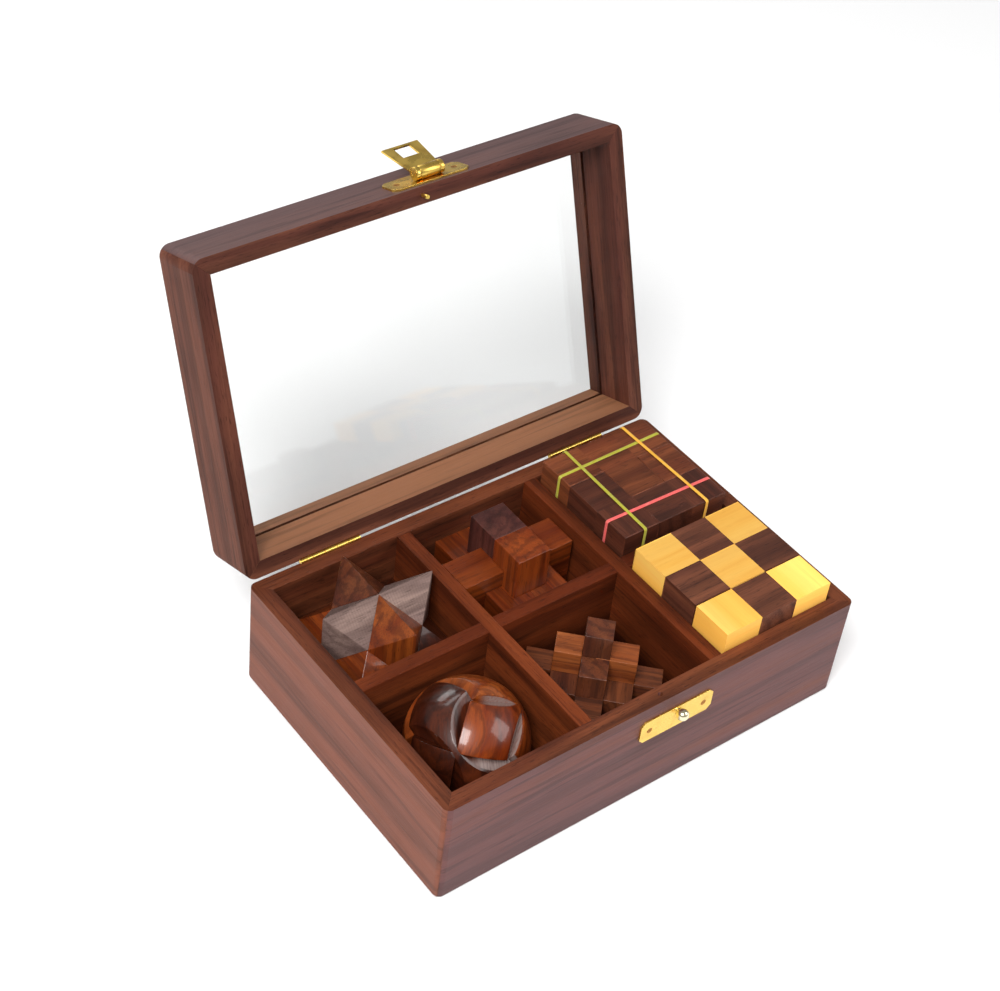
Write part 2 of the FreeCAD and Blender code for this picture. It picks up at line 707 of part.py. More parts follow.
# The ball stands with one of its three-way corners at the top.
upright = App.Rotation(Vector(1, -1, 1), Vector(0, 0, 1))
lean = upright.multVec(Vector(0, 0, 1))
spin = DIMENSIONS["ball_turn"] - math.degrees(math.atan2(lean.y, lean.x))
BALL_TURN = App.Rotation(Vector(0, 0, 1), spin).multiply(upright)


def ball_limit(name, across):
    sphere = doc.addObject("Part::Sphere", name + "_sphere")
    return bind(sphere, {"Radius": "Dims.ball_radius"})


def in_ball(obj):
    rise = "Dims.floor_thick + Dims.ball_radius"
    place(obj, "Dims.ball_across", "Dims.ball_along", rise, rotation=BALL_TURN)


facet_sticks("ball", BALL_NAMES, ball_limit, in_ball)


# ---------------------------------------------------------------- pagoda

CELL = "Dims.pagoda_cell"
PAGODA_TURN = App.Rotation(Vector(0, 0, 1), DIMENSIONS["pagoda_turn"])


def cells(name, spans):
    """Blocks between pairs of corners, counted in cells from the centre, fused together."""
    centre = ("0", "0", "0")
    return fuse(name, [
        bar("%s_%d" % (name, number), CELL, low, high, centre)
        for number, (low, high) in enumerate(spans, 1)
    ])


def in_pagoda(obj):
    rise = "Dims.floor_thick + 2.5 * Dims.pagoda_cell"
    place(obj, "Dims.pagoda_across", "Dims.pagoda_along", rise, rotation=PAGODA_TURN)


def three_quarters(bottom, top):
    """A cell's column without the quarter that the key's shank passes through."""
    return [((0, -0.5, bottom), (0.5, 0.5, top)), ((-0.5, 0, bottom), (0, 0.5, top))]


key_spans = [((-0.5, -0.5, 1.5), (0.5, 0.5, 2.5)), ((-0.5, -0.5, -2.5), (0, 0, 1.5))]
top_spans = [((-1.5, -0.5, 0.5), (-0.5, 0.5, 1.5)), ((0.5, -0.5, 0.5), (1.5, 0.5, 1.5))]
foot_spans = [((-1.5, -0.5, -1.5), (-0.5, 0.5, -0.5)), ((0.5, -0.5, -1.5), (1.5, 0.5, -0.5))]
across_spans = [
    ((-2.5, -0.5, -0.5), (-1.5, 0.5, 0.5)), ((1.5, -0.5, -0.5), (2.5, 0.5, 0.5)),
    ((-1.5, -0.5, -0.5), (-0.5, 0.5, 0)), ((0.5, -0.5, -0.5), (1.5, 0.5, 0)),
    ((-0.5, 0, -0.5), (0.5, 0.5, 0)), ((-0.5, 0, 0), (0, 0.5, 0.5)),
]
along_spans = [
    ((-0.5, -2.5, -0.5), (0.5, -1.5, 0.5)), ((-0.5, 1.5, -0.5), (0.5, 2.5, 0.5)),
    ((0, -1.5, -0.5), (0.5, -0.5, 0.5)), ((0, 0.5, -0.5), (0.5, 1.5, 0.5)),
    ((0, -0.5, 0), (0.5, 0.5, 0.5)), ((0, -0.5, -0.5), (0.5, 0, 0)),
]


def side_spans(x):
    """A stick beside the centre, clear of the long stick that passes under its middle."""
    return [
        ((x - 0.5, -1.5, -0.5), (x + 0.5, -0.5, 0.5)),
        ((x - 0.5, 0.5, -0.5), (x + 0.5, 1.5, 0.5)),
        ((x - 0.5, -0.5, 0), (x + 0.5, 0.5, 0.5)),
    ]


def post_spans(y):
    """An upright stick in front of or behind the centre."""
    return [
        ((-0.5, y - 0.5, -1.5), (0.5, y + 0.5, -0.5)),
        ((-0.5, y - 0.5, 0.5), (0.5, y + 0.5, 1.5)),
        ((-0.5, y - 0.5, -0.5), (0, y + 0.5, 0.5)),
    ]


in_pagoda(cells("pagoda_key", key_spans))
in_pagoda(cells("pagoda_top_stick", top_spans + three_quarters(0.5, 1.5)))
in_pagoda(together("pagoda_side_sticks", [
    cells("pagoda_left_side", side_spans(-1)),
    cells("pagoda_right_side", side_spans(1)),
]))
in_pagoda(together("pagoda_lower_sticks", [
    cells("pagoda_foot_stick", foot_spans + three_quarters(-2.5, -0.5)),
    cells("pagoda_front_post", post_spans(-1)),
    cells("pagoda_back_post", post_spans(1)),
]))
in_pagoda(together("pagoda_long_sticks", [
    cells("pagoda_across_stick", across_spans),
    cells("pagoda_along_stick", along_spans),
]))


# ---------------------------------------------------------------- banded cube

# Each letter is one piece. Layers run from the top down, rows from the back to the front.
SOMA_LAYERS = [
    ["TTT", "VTB", "VZZ"],
    ["LBA", "VBB", "ZZP"],
    ["LAA", "LAP", "LPP"],
]
SOMA_NAMES = {
    "T": "soma_tee", "V": "soma_small_corner", "L": "soma_ell", "Z": "soma_zed",
    "A": "soma_left_twist", "B": "soma_right_twist", "P": "soma_tripod",
}
SOMA_CENTRE = (
    "Dims.bay_across", "Dims.bay_along",
    "Dims.floor_thick + 2 * Dims.band_thick + 1.5 * Dims.soma_cell",
)
for letter, name in SOMA_NAMES.items():
    blocks = []
    for down, layer in enumerate(SOMA_LAYERS):
        for forward, line in enumerate(layer):
            for across, found in enumerate(line):
                if found == letter:
                    low = (across - 1.5, 0.5 - forward, 0.5 - down)
                    high = (across - 0.5, 1.5 - forward, 1.5 - down)
                    tag = "%s_cube_%d" % (name, len(blocks) + 1)
                    blocks.append(bar(tag, "Dims.soma_cell", low, high, SOMA_CENTRE))
    fuse(name, blocks)


def band(name, direction, sign, layer):
    """A rubber band round the cube, on the wood or on top of the first pair of bands."""
    half = "(1.5 * Dims.soma_cell + %d * Dims.band_thick)" % layer
    inset = "(Dims.band_inset - Dims.band_width / 2)"
    x, y, z = SOMA_CENTRE
    offset = "%d * (1.5 * Dims.soma_cell - %s)" % (sign, inset)
    solids = []
    for tag, grow in (("outer", "Dims.band_thick"), ("inner", "0")):
        reach = "(%s + %s)" % (half, grow)
        width = "Dims.band_width" if tag == "outer" else "3 * Dims.band_width"
        if direction == "x":
            size = ("2 * " + reach, width, "2 * " + reach)
            corner = (
                "%s - %s" % (x, reach), "%s + %s - %s / 2" % (y, offset, width),
                "%s - %s" % (z, reach),
            )
        else:
            size = (width, "2 * " + reach, "2 * " + reach)
            corner = (
                "%s + %s - %s / 2" % (x, offset, width), "%s - %s" % (y, reach),
                "%s - %s" % (z, reach),
            )
        solids.append(block("%s_%s" % (name, tag), size, corner))
    return cut(name, *solids)


together("green_bands", [
    band("green_back_band", "x", 1, 0),
    band("green_left_band", "y", -1, 1),
])
together("pink_band", [band("pink_front_band", "x", -1, 0)])
together("yellow_band", [band("yellow_right_band", "y", 1, 1)])


# ---------------------------------------------------------------- snake cube

# The chain's fold, from the lower front left cubelet: Right, Left, Back, Front, Up, Down.
SNAKE_FOLD = "RRBLUUBDDRUFFLLBDBUUFFRRBB"
STEPS = {
    "R": (1, 0, 0), "L": (-1, 0, 0), "B": (0, 1, 0), "F": (0, -1, 0), "U": (0, 0, 1),
    "D": (0, 0, -1),
}
SNAKE_CENTRE = (
    "Dims.bay_across", "Dims.snake_back - Dims.bay_along",
    "Dims.floor_thick + 1.5 * Dims.cubelet_pitch",
)
chain = [(-1, -1, -1)]
for letter in SNAKE_FOLD:
    chain.append(tuple(a + b for a, b in zip(chain[-1], STEPS[letter])))


def snake_point(cell):
    """The centre of a cubelet, as expressions. The upper front row has slipped forwards."""
    x, y, z = ["%d * Dims.cubelet_pitch + %s" % (c, m) for c, m in zip(cell, SNAKE_CENTRE)]
    if cell[1] == -1 and cell[2] == 1:
        y += " - Dims.snake_front_slip"
    return x, y, z


colours = {"light": [], "dark": []}
cores = []
holes = []
for number, cell in enumerate(chain):
    where = snake_point(cell)
    corner = ["%s - Dims.cubelet / 2" % value for value in where]
    shade = "dark" if number % 2 else "light"
    cube = block("cubelet_%d" % (number + 1), ["Dims.cubelet"] * 3, corner)
    colours[shade].append(cube)
    for kind, radius, group in (
        ("bend", "Dims.elastic_radius", cores), ("hollow", "Dims.elastic_bore", holes),
    ):
        ball = doc.addObject("Part::Sphere", "elastic_%s_%d" % (kind, number + 1))
        bind(ball, {"Radius": radius})
        group.append(place(ball, *where))
    if number:
        letter = SNAKE_FOLD[number - 1]
        start = snake_point(chain[number - 1])
        if letter in "LFD":
            start = where
        axis = {"R": "x", "L": "x", "B": "y", "F": "y", "U": "z", "D": "z"}[letter]
        span = "Dims.cubelet_pitch"
        tag = "%d" % number
        cores.append(rod("elastic_run_" + tag, "Dims.elastic_radius", span, start, axis))
        holes.append(rod("elastic_hole_" + tag, "Dims.elastic_bore", span, start, axis))

snake_bore = fuse("snake_bore", holes)
for shade, cubes in colours.items():
    cut("snake_%s_cubes" % shade, together("snake_%s_blanks" % shade, cubes), snake_bore)
fuse("snake_elastic", cores)


# ---------------------------------------------------------------- check and export

NODES = [
    "box_bottom", "box_front_wall", "box_back_wall", "box_left_wall", "box_right_wall",
    "long_divider", "left_cross_divider", "right_cross_divider", "hinge_box_leaves",
    "hinge_pins", "catch_plate", "catch_knob", "box_screws",
    "lid_front_rail", "lid_back_rail", "lid_left_rail", "lid_right_rail", "lid_glass",
    "hinge_lid_leaves", "clasp_plate", "clasp_pin", "lid_screws", "locating_pin", "clasp_hasp",
]
NODES += list(burr_sticks) + list(STAR_NAMES.values()) + list(BALL_NAMES.values())
NODES += [
    "pagoda_key", "pagoda_top_stick", "pagoda_side_sticks", "pagoda_lower_sticks",
    "pagoda_long_sticks",
]
NODES += list(SOMA_NAMES.values()) + ["green_bands", "pink_band", "yellow_band"]
NODES += ["snake_light_cubes", "snake_dark_cubes", "snake_elastic"]

doc.recompute()
for obj in doc.Objects:
    if "Invalid" in obj.State or "Error" in obj.State:
        raise RuntimeError("%s did not build: %s" % (obj.Label, obj.State))
    if hasattr(obj, "Shape") and not obj.TypeId.startswith(("Sketcher", "App")):
        if obj.Shape.isNull() or not obj.Shape.isValid():
            raise RuntimeError("%s has no valid shape" % obj.Label)

os.makedirs("parts", exist_ok=True)
for name in NODES:
    node = doc.getObject(name)
    if node.Label != name:
        raise RuntimeError("%s is labelled %s" % (name, node.Label))
    node.Shape.exportStep("parts/%s.step" % name)
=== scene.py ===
"""The looks of a hinged, glazed box of wooden puzzles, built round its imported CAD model.

Metres. Every length comes from the frame or is named in this file.
"""
import json
import math

import bmesh
import bpy
from mathutils import Matrix, Vector


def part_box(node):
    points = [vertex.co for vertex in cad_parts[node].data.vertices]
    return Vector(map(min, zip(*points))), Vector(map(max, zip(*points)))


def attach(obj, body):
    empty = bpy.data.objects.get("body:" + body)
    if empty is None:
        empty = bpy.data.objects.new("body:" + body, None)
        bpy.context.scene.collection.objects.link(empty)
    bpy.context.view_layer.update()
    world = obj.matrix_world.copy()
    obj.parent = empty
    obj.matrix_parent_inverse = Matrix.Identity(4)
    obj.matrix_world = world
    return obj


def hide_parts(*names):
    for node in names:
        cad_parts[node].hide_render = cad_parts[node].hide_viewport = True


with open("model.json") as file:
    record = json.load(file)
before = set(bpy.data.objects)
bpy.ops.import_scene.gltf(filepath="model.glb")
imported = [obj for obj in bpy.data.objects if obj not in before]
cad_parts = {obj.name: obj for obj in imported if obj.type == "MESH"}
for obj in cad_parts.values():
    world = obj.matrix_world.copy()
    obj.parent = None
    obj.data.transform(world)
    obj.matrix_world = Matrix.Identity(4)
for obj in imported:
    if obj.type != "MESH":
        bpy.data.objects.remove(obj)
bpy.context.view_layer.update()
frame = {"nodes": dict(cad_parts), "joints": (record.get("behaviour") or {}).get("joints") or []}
NODES = frame["nodes"]
MM = 0.001

X_AXIS = Vector((1, 0, 0))
Y_AXIS = Vector((0, 1, 0))
Z_AXIS = Vector((0, 0, 1))
DIAGONAL = math.radians(45)

# How far the edges of each kind of piece are eased.
BOARD_EDGE = 0.45 * MM
STICK_EDGE = 0.3 * MM
DICE_EDGE = 0.4 * MM
CUBELET_EDGE = 0.9 * MM
PLATE_EDGE = 0.12 * MM
SMALL_EDGE = 0.06 * MM


# ---------------------------------------------------------------- node helpers

class Tree:
    """A material's node tree, with short ways to add the nodes used here."""

    def __init__(self, name):
        self.material = bpy.data.materials.new(name)
        self.material.use_nodes = True
        self.tree = self.material.node_tree
        self.shader = self.tree.nodes["Principled BSDF"]
        self.place = self.node("ShaderNodeTexCoord")

    def node(self, kind, **settings):
        made = self.tree.nodes.new(kind)
        for name, value in settings.items():
            setattr(made, name, value)
        return made

    def feed(self, socket, value):
        """Link an output to a socket, or set the socket's own value."""
        if isinstance(value, bpy.types.NodeSocket):
            self.tree.links.new(value, socket)
        elif value is not None:
            socket.default_value = value

    def math(self, operation, first, second=None, clamp=False):
        made = self.node("ShaderNodeMath", operation=operation, use_clamp=clamp)
        self.feed(made.inputs[0], first)
        self.feed(made.inputs[1], second)
        return made.outputs[0]

    def vector(self, operation, first, second=None):
        made = self.node("ShaderNodeVectorMath", operation=operation)
        self.feed(made.inputs[0], first)
        if operation == "SCALE":
            self.feed(made.inputs["Scale"], second)
        else:
            self.feed(made.inputs[1], second)
        return made.outputs["Value" if operation == "DOT_PRODUCT" else "Vector"]

    def steps(self, value, low, high, first=0.0, last=1.0):
        """Value moved smoothly from one range to another."""
        made = self.node("ShaderNodeMapRange", interpolation_type="SMOOTHSTEP")
        numbers = (value, low, high, first, last)
        for socket, number in zip(made.inputs, numbers):
            self.feed(socket, number)
        return made.outputs[0]

    def mix(self, share, first, second, blend="MIX"):
        """Two colours mixed."""
        made = self.node("ShaderNodeMix", data_type="RGBA", blend_type=blend)
        self.feed(made.inputs["Factor"], share)
        self.feed(made.inputs[6], colour(first))
        self.feed(made.inputs[7], colour(second))
        return made.outputs[2]

    def mix_vector(self, share, first, second):
        made = self.node("ShaderNodeMix", data_type="VECTOR")
        self.feed(made.inputs["Factor"], share)
        self.feed(made.inputs[4], first)
        self.feed(made.inputs[5], second)
        return made.outputs[1]

    def noise(self, place, scale, detail=3.0, roughness=0.5, distortion=0.0):
        made = self.node("ShaderNodeTexNoise")
        self.feed(made.inputs["Vector"], place)
        self.feed(made.inputs["Scale"], scale)
        self.feed(made.inputs["Detail"], detail)
        self.feed(made.inputs["Roughness"], roughness)
        self.feed(made.inputs["Distortion"], distortion)
        return made.outputs["Fac"]

    def bump(self, height, distance, strength=1.0, normal=None):
        made = self.node("ShaderNodeBump")
        self.feed(made.inputs["Height"], height)
        self.feed(made.inputs["Distance"], distance)
        self.feed(made.inputs["Strength"], strength)
        self.feed(made.inputs["Normal"], normal)
        return made.outputs["Normal"]


def colour(value):
    """A colour socket's value, from three numbers or as it is."""
    if isinstance(value, tuple) and len(value) == 3:
        return (*value, 1.0)
    return value


def srgb(red, green, blue):
    """A screen colour out of 255, as the linear numbers that a shader takes."""
    linear = []
    for part in (red, green, blue):
        share = part / 255
        linear.append(share / 12.92 if share <= 0.04045 else ((share + 0.055) / 1.055) ** 2.4)
    return tuple(linear)


# ---------------------------------------------------------------- wood

def grain_frame(tree, along, shift, place=None):
    """Object coordinates turned so that x runs along the grain, moved to another log."""
    along = Vector(along).normalized()
    side = along.cross(Z_AXIS if abs(along.z) < 0.9 else Y_AXIS).normalized()
    up = side.cross(along)
    place = place or tree.place.outputs["Object"]
    joined = tree.node("ShaderNodeCombineXYZ")
    for socket, axis in zip(joined.inputs, (along, side, up)):
        tree.feed(socket, tree.vector("DOT_PRODUCT", place, tuple(axis)))
    return tree.vector("ADD", joined.outputs[0], shift)


def per_cell(tree, cell, corner):
    """A random colour for each cube of a grid, and the coordinates with their axes swapped."""
    place = tree.place.outputs["Object"]
    counted = tree.vector("SCALE", tree.vector("SUBTRACT", place, corner), 1 / cell)
    whole = tree.vector("FLOOR", counted)
    white = tree.node("ShaderNodeTexWhiteNoise", noise_dimensions="3D")
    tree.feed(white.inputs["Vector"], whole)
    apart = tree.node("ShaderNodeSeparateXYZ")
    tree.feed(apart.inputs[0], place)
    turned = tree.node("ShaderNodeCombineXYZ")
    for socket, letter in zip(turned.inputs, "YZX"):
        tree.feed(socket, apart.outputs[letter])
    dice = tree.node("ShaderNodeSeparateColor")
    tree.feed(dice.inputs[0], white.outputs["Color"])
    swapped = tree.mix_vector(
        tree.math("GREATER_THAN", dice.outputs["Red"], 0.5), place, turned.outputs[0]
    )
    moved = tree.vector("ADD", swapped, white.outputs["Color"])
    return moved, dice


def wood(name, along, tones, shift=(0, 0, 0), rings=6.0, streak=1.0, contrast=1.0,
         rough=0.42, coat=0.0, cells=None, painted_side_sheen=None, sawn=0.0, pore=1.0, core=None,
         shine=0.3, spread=0.25):
    """Wood with its grain along an axis.

    tones are the dark line, the middle and the light streak. painted_side_sheen is
    (direction, colour, share): painted sheen and light, a tone laid on the faces that look
    in that direction in place of the reflections and light that fall on that side, at that
    share. core is (centre, radius, direction, tone): faces nearer the centre than the radius
    aren't lacquered, and the cut flats on the side that lies in that direction take the tone.
    shine is the strength of the gloss, and spread how much the cubes of a grid differ.
    """
    tree = Tree(name)
    place, dice = per_cell(tree, *cells) if cells else (None, None)
    grain = grain_frame(tree, along, shift, place)

    drawn = tree.vector("MULTIPLY", grain, (0.06, 1.0, 1.0))
    drift = tree.noise(drawn, 42 * streak, 4.0, 0.55, 0.6)
    bent = tree.vector("ADD", drawn, tree.vector("SCALE", drift_vector(tree, drift), 0.012))
    ring = tree.node("ShaderNodeTexWave", wave_type="RINGS", rings_direction="X")
    tree.feed(ring.inputs["Vector"], bent)
    tree.feed(ring.inputs["Scale"], 12 * rings)
    tree.feed(ring.inputs["Distortion"], 3.5)
    tree.feed(ring.inputs["Detail"], 3.0)
    tree.feed(ring.inputs["Detail Scale"], 1.6)
    figure = ring.outputs["Fac"]

    lines = tree.noise(tree.vector("MULTIPLY", grain, (0.045, 1, 1)), 330, 4.0, 0.62, 0.4)
    lines = tree.steps(lines, 0.5, 0.68)
    fibre = tree.noise(tree.vector("MULTIPLY", grain, (0.035, 1, 1)), 1500, 2.0, 0.6)
    pores = tree.noise(tree.vector("MULTIPLY", grain, (0.09, 1, 1)), 2300, 1.0, 0.5)
    pores = tree.steps(pores, 0.60, 0.72)
    cloud = tree.noise(grain, 26, 2.0, 0.5)

    dark, middle, light = tones
    base = tree.mix(tree.steps(drift, 0.32, 0.68), middle, light)
    base = tree.mix(tree.math("MULTIPLY", tree.steps(figure, 0.45, 1.0), 0.42 * contrast),
                    base, dark)
    base = tree.mix(tree.math("MULTIPLY", tree.steps(cloud, 0.35, 0.7), 0.3 * contrast),
                    base, dark)
    base = tree.mix(tree.math("MULTIPLY", tree.steps(fibre, 0.4, 0.75), 0.28 * contrast),
                    base, dark)
    base = tree.mix(tree.math("MULTIPLY", lines, 0.5 * contrast), base, dark)
    base = tree.mix(tree.math("MULTIPLY", pores, 0.5 * pore), base, tuple(c * 0.35 for c in dark))
    if dice:
        level = tree.steps(dice.outputs["Green"], 0.0, 1.0, 1 - spread, 1 + spread)
        grey = tree.node("ShaderNodeCombineColor")
        for socket in grey.inputs[:3]:
            tree.feed(socket, level)
        base = tree.mix(1.0, base, grey.outputs[0], "MULTIPLY")
    # Painted sheen and light: faces that look in the given direction take a tone standing in for
    # the reflections and light on that side, with the grain's streaks, rings and lines laid back
    # over it.
    if painted_side_sheen:
        direction, sheen_tint, share = painted_side_sheen
        facing = tree.vector("DOT_PRODUCT", tree.place.outputs["Normal"], tuple(direction))
        sheen_mask = tree.math("MULTIPLY", tree.steps(facing, 0.3, 0.9), share)
        veined = tree.mix(0.5, base, sheen_tint, "SOFT_LIGHT")
        veined = tree.mix(0.62, veined, sheen_tint)
        veined = tree.mix(tree.math("MULTIPLY", tree.steps(drift, 0.56, 0.74), 0.42),
                          veined, light)
        veined = tree.mix(tree.math("MULTIPLY", tree.steps(figure, 0.6, 1.0), 0.14),
                          veined, dark)
        veined = tree.mix(tree.math("MULTIPLY", lines, 0.26), veined, dark)
        base = tree.mix(sheen_mask, base, veined)
    if core:
        centre, radius, direction, tone = core
        reach = tree.vector("SUBTRACT", tree.place.outputs["Object"], tuple(centre))
        apart = tree.node("ShaderNodeVectorMath", operation="LENGTH")
        tree.feed(apart.inputs[0], reach)
        inner = tree.steps(apart.outputs["Value"], radius - 0.4 * MM, radius, 1.0, 0.0)
        outer = tree.steps(apart.outputs["Value"], 0.72 * radius, 0.82 * radius)
        beside = tree.vector("DOT_PRODUCT", reach, tuple(direction))
        flats = tree.math("MULTIPLY", tree.math("MULTIPLY", inner, outer),
                          tree.steps(beside, 2 * MM, 7 * MM))
        pale = tree.mix(tree.math("MULTIPLY", tree.steps(fibre, 0.35, 0.75), 0.5), tone, middle)
        base = tree.mix(flats, base, pale)
        bare = tree.math("MULTIPLY", tree.math("SUBTRACT", 1.0, inner), coat)
        tree.feed(tree.shader.inputs["Coat Weight"], bare)
    tree.feed(tree.shader.inputs["Base Color"], base)

    gloss = tree.math("MULTIPLY_ADD", tree.steps(fibre, 0.3, 0.7), 0.10)
    gloss.node.inputs[2].default_value = rough
    tree.feed(tree.shader.inputs["Roughness"], gloss)
    tree.shader.inputs["Specular IOR Level"].default_value = shine
    if not core:
        tree.shader.inputs["Coat Weight"].default_value = coat
    tree.shader.inputs["Coat Roughness"].default_value = 0.09
    relief = tree.math("SUBTRACT", tree.math("MULTIPLY", fibre, 0.4), pores)
    normal = tree.bump(relief, 0.06 * MM, 0.5 * pore)
    if sawn:
        kerf = tree.node("ShaderNodeTexWave", wave_type="BANDS", bands_direction="X")
        slanted = tree.vector("ADD", grain, tree.vector("SCALE", drift_vector(tree, cloud), 0.004))
        tree.feed(kerf.inputs["Vector"], slanted)
        tree.feed(kerf.inputs["Scale"], 260)
        tree.feed(kerf.inputs["Distortion"], 2.0)
        normal = tree.bump(kerf.outputs["Fac"], 0.08 * MM, sawn, normal)
    tree.feed(tree.shader.inputs["Normal"], normal)
    return tree.material


def drift_vector(tree, value):
    """A single number as an equal push along the two axes across the grain."""
    made = tree.node("ShaderNodeCombineXYZ")
    tree.feed(made.inputs["Y"], value)
    tree.feed(made.inputs["Z"], value)
    return made.outputs[0]


# ---------------------------------------------------------------- metal, glass, rubber

def brass(name, bright, dull, rough):
    """Thin bright plating over rolled brass, with smears, fine scratches and dulled patches."""
    tree = Tree(name)
    place = tree.place.outputs["Object"]
    smear = tree.noise(place, 210, 3.0, 0.5)
    worn = tree.steps(tree.noise(place, 120, 2.0, 0.5), 0.48, 0.75)
    scratch = tree.noise(tree.vector("MULTIPLY", place, (1, 1, 0.06)), 3000, 2.0)
    base = tree.mix(tree.math("MULTIPLY", worn, 0.5), bright, dull)
    tree.feed(tree.shader.inputs["Base Color"], base)
    tree.shader.inputs["Metallic"].default_value = 1.0
    tree.feed(tree.shader.inputs["Roughness"], tree.steps(smear, 0.3, 0.7, rough, rough + 0.16))
    tree.feed(tree.shader.inputs["Normal"], tree.bump(scratch, 0.004 * MM, 0.3))
    return tree.material


def glass():
    """Clear window glass with a few faint smears."""
    tree = Tree("window_glass")
    smear = tree.noise(tree.place.outputs["Object"], 30, 4.0, 0.6)
    tree.shader.inputs["Base Color"].default_value = (0.985, 0.995, 0.99, 1)
    tree.shader.inputs["Transmission Weight"].default_value = 1.0
    tree.shader.inputs["IOR"].default_value = 1.45
    tree.shader.inputs["Specular IOR Level"].default_value = 0.25
    tree.feed(tree.shader.inputs["Roughness"], tree.steps(smear, 0.5, 0.8, 0.0, 0.02))
    return tree.material


def rubber(name, tone):
    """A matt stretched rubber band: fine talc, and darker where the stretch thins it."""
    tree = Tree(name)
    place = tree.place.outputs["Object"]
    dust = tree.noise(place, 900, 3.0, 0.6)
    patch = tree.noise(place, 90, 2.0, 0.5)
    base = tree.mix(tree.math("MULTIPLY", tree.steps(patch, 0.4, 0.7), 0.3), tone,
                    tuple(part * 0.6 for part in tone))
    base = tree.mix(tree.math("MULTIPLY", tree.steps(dust, 0.5, 0.8), 0.2), base,
                    (0.85, 0.8, 0.6))
    tree.feed(tree.shader.inputs["Base Color"], base)
    tree.shader.inputs["Roughness"].default_value = 0.55
    tree.shader.inputs["Sheen Weight"].default_value = 0.15
    tree.feed(tree.shader.inputs["Normal"], tree.bump(dust, 0.04 * MM, 0.4))
    return tree.material


def braid():
    """Round elastic under a woven white cover."""
    tree = Tree("woven_elastic")
    place = tree.place.outputs["Object"]
    weave = tree.node("ShaderNodeTexVoronoi")
    tree.feed(weave.inputs["Vector"], place)
    tree.feed(weave.inputs["Scale"], 2600)
    base = tree.mix(tree.steps(weave.outputs["Distance"], 0.2, 0.6), (0.8, 0.79, 0.74),
                    (0.45, 0.43, 0.38))
    tree.feed(tree.shader.inputs["Base Color"], base)
    tree.shader.inputs["Roughness"].default_value = 0.8
    tree.feed(tree.shader.inputs["Normal"],
              tree.bump(weave.outputs["Distance"], 0.1 * MM, 0.6))
    return tree.material


# ---------------------------------------------------------------- dressing the CAD nodes

def eased(node, width, segments=2):
    """Ease the edges of a CAD node, so that light catches them and joints show as lines."""
    weld = node.modifiers.new("joined", "WELD")
    weld.merge_threshold = 0.002 * MM
    bevel = node.modifiers.new("eased", "BEVEL")
    bevel.width = width
    bevel.segments = segments
    bevel.limit_method = "ANGLE"
    bevel.angle_limit = math.radians(28)
    bevel.use_clamp_overlap = True
    bevel.harden_normals = True
    return node


def dress(name, material, edge=0.0, segments=2):
    """Give a CAD node its material and its eased edges."""
    node = NODES[name]
    node.data.materials.clear()
    node.data.materials.append(material)
    if edge:
        eased(node, edge, segments)
    return node


# tones: dark line, middle, light streak
CASE_INSIDE = (srgb(38, 12, 5), srgb(96, 38, 15), srgb(126, 60, 28))
CASE_RIM = (srgb(32, 11, 6), srgb(84, 38, 23), srgb(122, 66, 40))
LID_WOOD = (srgb(34, 14, 11), srgb(78, 40, 32), srgb(112, 66, 48))
# Painted sheen and light: tones laid on the faces that look one way, for the greyer reflections on
# the front and the lid top and the lighter sides.
FRONT_PAINTED_SHEEN = srgb(114, 82, 84)
LEFT_PAINTED_LIGHT = srgb(142, 88, 70)
LID_TOP_PAINTED_SHEEN = srgb(110, 90, 90)
LID_INSIDE_PAINTED_LIGHT = srgb(176, 122, 86)

# Each board is cut from its own stretch of the log.
log_shift = 0.0
for name, along, outward, sheen_tint in (
    ("box_front_wall", X_AXIS, -Y_AXIS, FRONT_PAINTED_SHEEN),
    ("box_back_wall", X_AXIS, Y_AXIS, FRONT_PAINTED_SHEEN),
    ("box_left_wall", Y_AXIS, -X_AXIS, LEFT_PAINTED_LIGHT),
    ("box_right_wall", Y_AXIS, X_AXIS, LEFT_PAINTED_LIGHT),
):
    log_shift += 0.31
    # Each wall's outward face takes the painted sheen and light tone.
    made = wood(name + "_wood", along, CASE_RIM, (log_shift, 0.02, 0.01), rings=2.4,
                streak=1.2, contrast=1.0, rough=0.46, shine=0.2, painted_side_sheen=(outward, sheen_tint, 0.9))
    dress(name, made, BOARD_EDGE)

for name, along in (
    ("box_bottom", X_AXIS), ("long_divider", X_AXIS), ("left_cross_divider", Y_AXIS),
    ("right_cross_divider", Y_AXIS),
):
    log_shift += 0.23
    made = wood(name + "_wood", along, CASE_INSIDE, (log_shift, 0.05, 0.03), rings=2.0,
                contrast=1.0, rough=0.5, shine=0.15)
    dress(name, made, STICK_EDGE)

LID_OPEN = math.radians(-frame["joints"][0]["range_deg"][0])
lid_along = Vector((0, math.cos(LID_OPEN), -math.sin(LID_OPEN)))
for name, along, direction, sheen_tint, share in (
    ("lid_front_rail", X_AXIS, -lid_along, LID_TOP_PAINTED_SHEEN, 0.9),
    ("lid_back_rail", X_AXIS, -lid_along, LID_INSIDE_PAINTED_LIGHT, 0.9),
    ("lid_left_rail", lid_along, -X_AXIS, LEFT_PAINTED_LIGHT, 0.15),
    ("lid_right_rail", lid_along, X_AXIS, LEFT_PAINTED_LIGHT, 0.4),
):
    log_shift += 0.37
    # The faces looking the listed way take the painted sheen and light tone, at the listed share.
    made = wood(name + "_wood", along, LID_WOOD, (log_shift, 0.01, 0.04), rings=2.4,
                streak=1.2, contrast=1.0, rough=0.5, shine=0.12,
                painted_side_sheen=(direction, sheen_tint, share))
    dress(name, made, BOARD_EDGE)

